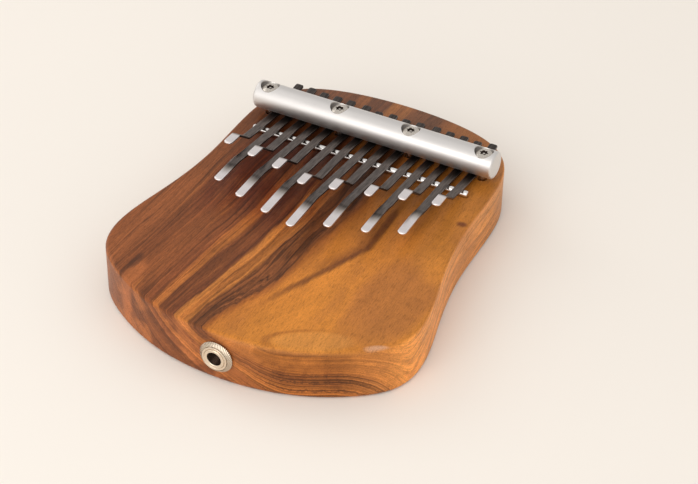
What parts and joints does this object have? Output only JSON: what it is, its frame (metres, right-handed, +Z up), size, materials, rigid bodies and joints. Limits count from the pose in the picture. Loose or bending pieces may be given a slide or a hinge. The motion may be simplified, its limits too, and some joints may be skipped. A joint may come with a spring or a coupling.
{
  "type": "mbira",
  "caption": "Board mbira: sprung steel tines clamped over two bridges by a round pressure bar on a rounded solid wood board, with a jack and piezo pickup inside.",
  "frame": {"origin": "bottom centre of the whole instrument, on the plane that the board rests on", "axes": "+X along the pressure bar, +Y towards the bar end, +Z up out of the board, so the player faces +Y"},
  "size_m": [0.147, 0.1852, 0.0404],
  "materials": {
    "oiled_walnut": "oiled satin, striped dark and golden brown",
    "satin_aluminium": "satin turned rod",
    "screw_steel": "bright raised heads",
    "spring_steel": "dark grey, ground bright on the playing tips",
    "polished_steel": "polished rod",
    "nickel_plate": "warm nickel",
    "black_plastic": "matte moulded",
    "brass_sheet": "rolled sheet",
    "piezo_ceramic": "fired ceramic with a matte electrode",
    "red_insulation": "wire insulation",
    "black_insulation": "wire insulation"
  },
  "bodies": {
    "root": {"board": "oiled_walnut", "cavity_cover": "black_plastic", "clamp_screw_1": "screw_steel", "clamp_screw_2": "screw_steel", "clamp_screw_3": "screw_steel", "clamp_screw_4": "screw_steel", "cover_screw_1": "screw_steel", "cover_screw_2": "screw_steel", "cover_screw_3": "screw_steel", "cover_screw_4": "screw_steel", "earth_wire": "black_insulation", "front_bridge": "polished_steel", "jack_bushing": "nickel_plate", "jack_housing": "black_plastic", "jack_nut": "nickel_plate", "jack_sleeve_lug": "nickel_plate", "jack_tip_lug": "nickel_plate", "jack_washer": "nickel_plate", "piezo_ceramic": "piezo_ceramic", "piezo_plate": "brass_sheet", "pressure_bar": "satin_aluminium", "rear_bridge": "polished_steel", "signal_wire": "red_insulation"},
    "tine_01_clamped": {"tine_01_anchor": "spring_steel"},
    "tine_01_playing": {"tine_01_blade": "spring_steel"},
    "tine_02_clamped": {"tine_02_anchor": "spring_steel"},
    "tine_02_playing": {"tine_02_blade": "spring_steel"},
    "tine_03_clamped": {"tine_03_anchor": "spring_steel"},
    "tine_03_playing": {"tine_03_blade": "spring_steel"},
    "tine_04_clamped": {"tine_04_anchor": "spring_steel"},
    "tine_04_playing": {"tine_04_blade": "spring_steel"},
    "tine_05_clamped": {"tine_05_anchor": "spring_steel"},
    "tine_05_playing": {"tine_05_blade": "spring_steel"},
    "tine_06_clamped": {"tine_06_anchor": "spring_steel"},
    "tine_06_playing": {"tine_06_blade": "spring_steel"},
    "tine_07_clamped": {"tine_07_anchor": "spring_steel"},
    "tine_07_playing": {"tine_07_blade": "spring_steel"},
    "tine_08_clamped": {"tine_08_anchor": "spring_steel"},
    "tine_08_playing": {"tine_08_blade": "spring_steel"},
    "tine_09_clamped": {"tine_09_anchor": "spring_steel"},
    "tine_09_playing": {"tine_09_blade": "spring_steel"},
    "tine_10_clamped": {"tine_10_anchor": "spring_steel"},
    "tine_10_playing": {"tine_10_blade": "spring_steel"},
    "tine_11_clamped": {"tine_11_anchor": "spring_steel"},
    "tine_11_playing": {"tine_11_blade": "spring_steel"},
    "tine_12_clamped": {"tine_12_anchor": "spring_steel"},
    "tine_12_playing": {"tine_12_blade": "spring_steel"},
    "tine_13_clamped": {"tine_13_anchor": "spring_steel"},
    "tine_13_playing": {"tine_13_blade": "spring_steel"},
    "tine_14_clamped": {"tine_14_anchor": "spring_steel"},
    "tine_14_playing": {"tine_14_blade": "spring_steel"},
    "tine_15_clamped": {"tine_15_anchor": "spring_steel"},
    "tine_15_playing": {"tine_15_blade": "spring_steel"},
    "tip_contact": {"jack_tip_spring": "nickel_plate"}
  },
  "joints": [
    {"name": "tine_01_tuning", "type": "slide", "parent": "root", "child": "tine_01_clamped", "axis": [0, 1, 0], "range_m": [-0.0015, 0.0015]},
    {"name": "tine_01_pluck", "type": "hinge", "parent": "tine_01_clamped", "child": "tine_01_playing", "pos_m": [-0.05014, 0.04045, 0.02884], "axis": [1, 0, 0], "range_deg": [-3, 3], "stiffness_Nm_per_rad": 6.39},
    {"name": "tine_02_tuning", "type": "slide", "parent": "root", "child": "tine_02_clamped", "axis": [0, 1, 0], "range_m": [-0.0015, 0.0015]},
    {"name": "tine_02_pluck", "type": "hinge", "parent": "tine_02_clamped", "child": "tine_02_playing", "pos_m": [-0.04314, 0.04045, 0.02884], "axis": [1, 0, 0], "range_deg": [-3, 3], "stiffness_Nm_per_rad": 3.8},
    {"name": "tine_03_tuning", "type": "slide", "parent": "root", "child": "tine_03_clamped", "axis": [0, 1, 0], "range_m": [-0.0015, 0.0015]},
    {"name": "tine_03_pluck", "type": "hinge", "parent": "tine_03_clamped", "child": "tine_03_playing", "pos_m": [-0.03614, 0.04045, 0.02884], "axis": [1, 0, 0], "range_deg": [-3, 3], "stiffness_Nm_per_rad": 5.7},
    {"name": "tine_04_tuning", "type": "slide", "parent": "root", "child": "tine_04_clamped", "axis": [0, 1, 0], "range_m": [-0.0015, 0.0015]},
    {"name": "tine_04_pluck", "type": "hinge", "parent": "tine_04_clamped", "child": "tine_04_playing", "pos_m": [-0.02914, 0.04045, 0.02884], "axis": [1, 0, 0], "range_deg": [-3, 3], "stiffness_Nm_per_rad": 3.41},
    {"name": "tine_05_tuning", "type": "slide", "parent": "root", "child": "tine_05_clamped", "axis": [0, 1, 0], "range_m": [-0.0015, 0.0015]},
    {"name": "tine_05_pluck", "type": "hinge", "parent": "tine_05_clamped", "child": "tine_05_playing", "pos_m": [-0.02214, 0.04045, 0.02884], "axis": [1, 0, 0], "range_deg": [-3, 3], "stiffness_Nm_per_rad": 5.22},
    {"name": "tine_06_tuning", "type": "slide", "parent": "root", "child": "tine_06_clamped", "axis": [0, 1, 0], "range_m": [-0.0015, 0.0015]},
    {"name": "tine_06_pluck", "type": "hinge", "parent": "tine_06_clamped", "child": "tine_06_playing", "pos_m": [-0.014, 0.04045, 0.02884], "axis": [1, 0, 0], "range_deg": [-3, 3], "stiffness_Nm_per_rad": 3.15},
    {"name": "tine_07_tuning", "type": "slide", "parent": "root", "child": "tine_07_clamped", "axis": [0, 1, 0], "range_m": [-0.0015, 0.0015]},
    {"name": "tine_07_pluck", "type": "hinge", "parent": "tine_07_clamped", "child": "tine_07_playing", "pos_m": [-0.007, 0.04045, 0.02884], "axis": [1, 0, 0], "range_deg": [-3, 3], "stiffness_Nm_per_rad": 4.62},
    {"name": "tine_08_tuning", "type": "slide", "parent": "root", "child": "tine_08_clamped", "axis": [0, 1, 0], "range_m": [-0.0015, 0.0015]},
    {"name": "tine_08_pluck", "type": "hinge", "parent": "tine_08_clamped", "child": "tine_08_playing", "pos_m": [0, 0.04045, 0.02884], "axis": [1, 0, 0], "range_deg": [-3, 3], "stiffness_Nm_per_rad": 3},
    {"name": "tine_09_tuning", "type": "slide", "parent": "root", "child": "tine_09_clamped", "axis": [0, 1, 0], "range_m": [-0.0015, 0.0015]},
    {"name": "tine_09_pluck", "type": "hinge", "parent": "tine_09_clamped", "child": "tine_09_playing", "pos_m": [0.007, 0.04045, 0.02884], "axis": [1, 0, 0], "range_deg": [-3, 3], "stiffness_Nm_per_rad": 4.94},
    {"name": "tine_10_tuning", "type": "slide", "parent": "root", "child": "tine_10_clamped", "axis": [0, 1, 0], "range_m": [-0.0015, 0.0015]},
    {"name": "tine_10_pluck", "type": "hinge", "parent": "tine_10_clamped", "child": "tine_10_playing", "pos_m": [0.014, 0.04045, 0.02884], "axis": [1, 0, 0], "range_deg": [-3, 3], "stiffness_Nm_per_rad": 3.39},
    {"name": "tine_11_tuning", "type": "slide", "parent": "root", "child": "tine_11_clamped", "axis": [0, 1, 0], "range_m": [-0.0015, 0.0015]},
    {"name": "tine_11_pluck", "type": "hinge", "parent": "tine_11_clamped", "child": "tine_11_playing", "pos_m": [0.02214, 0.04045, 0.02884], "axis": [1, 0, 0], "range_deg": [-3, 3], "stiffness_Nm_per_rad": 5.49},
    {"name": "tine_12_tuning", "type": "slide", "parent": "root", "child": "tine_12_clamped", "axis": [0, 1, 0], "range_m": [-0.0015, 0.0015]},
    {"name": "tine_12_pluck", "type": "hinge", "parent": "tine_12_clamped", "child": "tine_12_playing", "pos_m": [0.02914, 0.04045, 0.02884], "axis": [1, 0, 0], "range_deg": [-3, 3], "stiffness_Nm_per_rad": 3.77},
    {"name": "tine_13_tuning", "type": "slide", "parent": "root", "child": "tine_13_clamped", "axis": [0, 1, 0], "range_m": [-0.0015, 0.0015]},
    {"name": "tine_13_pluck", "type": "hinge", "parent": "tine_13_clamped", "child": "tine_13_playing", "pos_m": [0.03614, 0.04045, 0.02884], "axis": [1, 0, 0], "range_deg": [-3, 3], "stiffness_Nm_per_rad": 6.31},
    {"name": "tine_14_tuning", "type": "slide", "parent": "root", "child": "tine_14_clamped", "axis": [0, 1, 0], "range_m": [-0.0015, 0.0015]},
    {"name": "tine_14_pluck", "type": "hinge", "parent": "tine_14_clamped", "child": "tine_14_playing", "pos_m": [0.04314, 0.04045, 0.02884], "axis": [1, 0, 0], "range_deg": [-3, 3], "stiffness_Nm_per_rad": 4.35},
    {"name": "tine_15_tuning", "type": "slide", "parent": "root", "child": "tine_15_clamped", "axis": [0, 1, 0], "range_m": [-0.0015, 0.0015]},
    {"name": "tine_15_pluck", "type": "hinge", "parent": "tine_15_clamped", "child": "tine_15_playing", "pos_m": [0.05014, 0.04045, 0.02884], "axis": [1, 0, 0], "range_deg": [-3, 3], "stiffness_Nm_per_rad": 7.38},
    {"name": "tip_contact_lift", "type": "hinge", "parent": "root", "child": "tip_contact", "pos_m": [0.0015, -0.0554, 0.01795], "axis": [-1, 0, 0], "range_deg": [0, 6], "stiffness_Nm_per_rad": 0.05}
  ]
}
